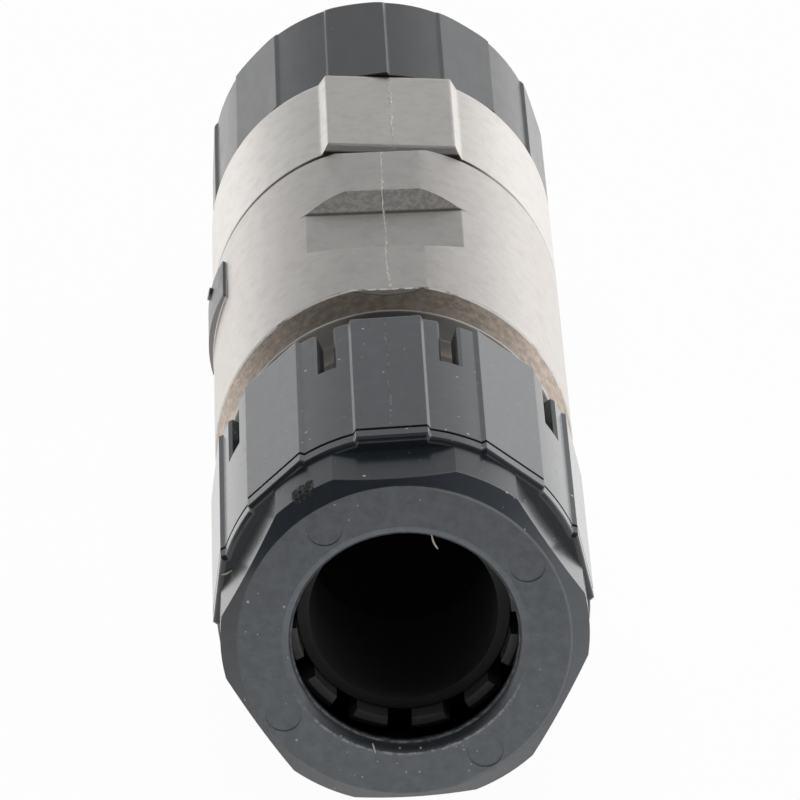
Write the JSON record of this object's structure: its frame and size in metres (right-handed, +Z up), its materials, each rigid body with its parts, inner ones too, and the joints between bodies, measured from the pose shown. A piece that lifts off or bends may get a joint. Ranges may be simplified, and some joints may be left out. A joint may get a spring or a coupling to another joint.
{
  "type": "circular connector",
  "caption": "Straight circular cable connector: plated metal housing, free-turning coupling ring at the mating end and a slotted gland nut that clamps the cable.",
  "frame": {"origin": "centre of the mating face, on the connector's axis", "axes": "+Y along the axis towards the mating half, +Z up through the middle of the upper spanner pad, +X to the right seen from the cable end"},
  "size_m": [0.0333, 0.1155, 0.033],
  "materials": {
    "black_plastic": "moulded, satin",
    "clamp_plastic": "moulded, satin",
    "seal_rubber": "matte",
    "plated_metal": "nickel-plated die casting, satin",
    "spring_steel": "plain",
    "insert_plastic": "moulded",
    "contact_metal": "plated"
  },
  "bodies": {
    "housing": {"rear_housing": "plated_metal", "front_shell": "plated_metal", "clamp_cage": "clamp_plastic", "gland_seal": "seal_rubber", "housing_seal": "seal_rubber", "ring_clip": "spring_steel", "face_seal": "seal_rubber", "insulator": "insert_plastic", "contact_lock": "insert_plastic", "insert_retainer": "plated_metal", "contact_1": "contact_metal", "contact_2": "contact_metal", "contact_3": "contact_metal", "contact_4": "contact_metal", "contact_5": "contact_metal", "contact_6": "contact_metal", "earth_contact": "contact_metal"},
    "ring": {"coupling_ring": "black_plastic"},
    "slip": {"slip_ring": "clamp_plastic"},
    "nut": {"gland_nut": "black_plastic"}
  },
  "joints": [
    {"name": "ring_turn", "type": "hinge", "parent": "housing", "child": "ring", "pos_m": [0, -0.0185, 0], "axis": [0, 1, 0], "continuous": true},
    {"name": "nut_travel", "type": "slide", "parent": "housing", "child": "slip", "axis": [0, -1, 0], "range_m": [-0.0004, 0.0091]},
    {"name": "nut_turn", "type": "hinge", "parent": "slip", "child": "nut", "pos_m": [0, -0.1, 0], "axis": [0, -1, 0], "range_deg": [-90, 2160]}
  ],
  "couplings": [
    {"joint": "nut_travel", "follows": "nut_turn", "m_per_rad": 0.00023873}
  ]
}
